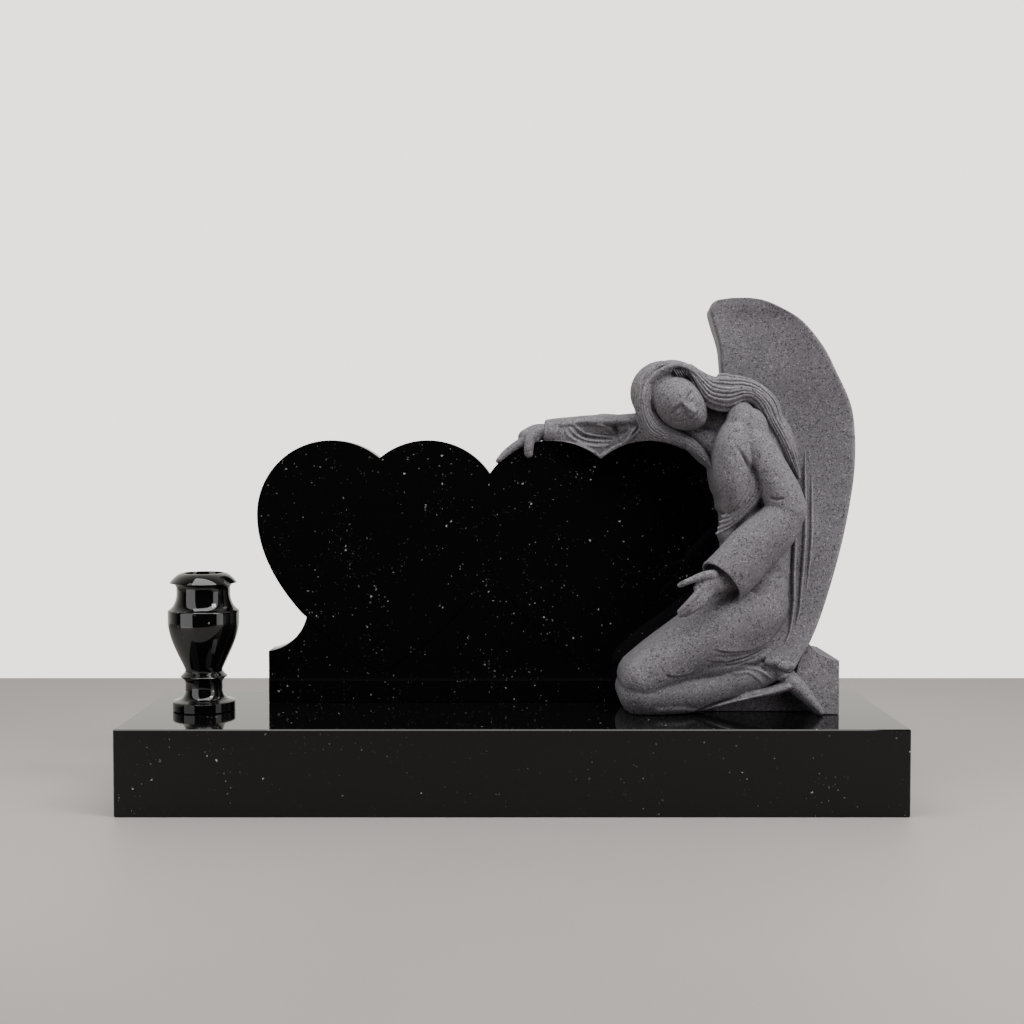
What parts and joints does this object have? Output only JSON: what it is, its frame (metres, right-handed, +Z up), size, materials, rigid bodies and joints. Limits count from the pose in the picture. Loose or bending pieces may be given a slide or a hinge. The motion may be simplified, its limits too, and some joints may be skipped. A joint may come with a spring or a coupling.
{
  "type": "heart headstone",
  "caption": "Headstone of joined heart tablets with a kneeling angel carved beside them, on a slab base with a turned flower vase.",
  "frame": {"origin": "middle of the base's underside, on the ground", "axes": "+X to the right of someone who faces the stone, along its length; -Y is the front that the hearts and the angel face; +Z up"},
  "size_m": [1.3716, 0.4064, 0.9147],
  "materials": {
    "base_granite": "polished",
    "headstone_granite": "polished tablet, matte carving",
    "vase_granite": "polished"
  },
  "bodies": {
    "root": {"base": "base_granite", "headstone": "headstone_granite", "vase": "vase_granite"}
  },
  "joints": []
}
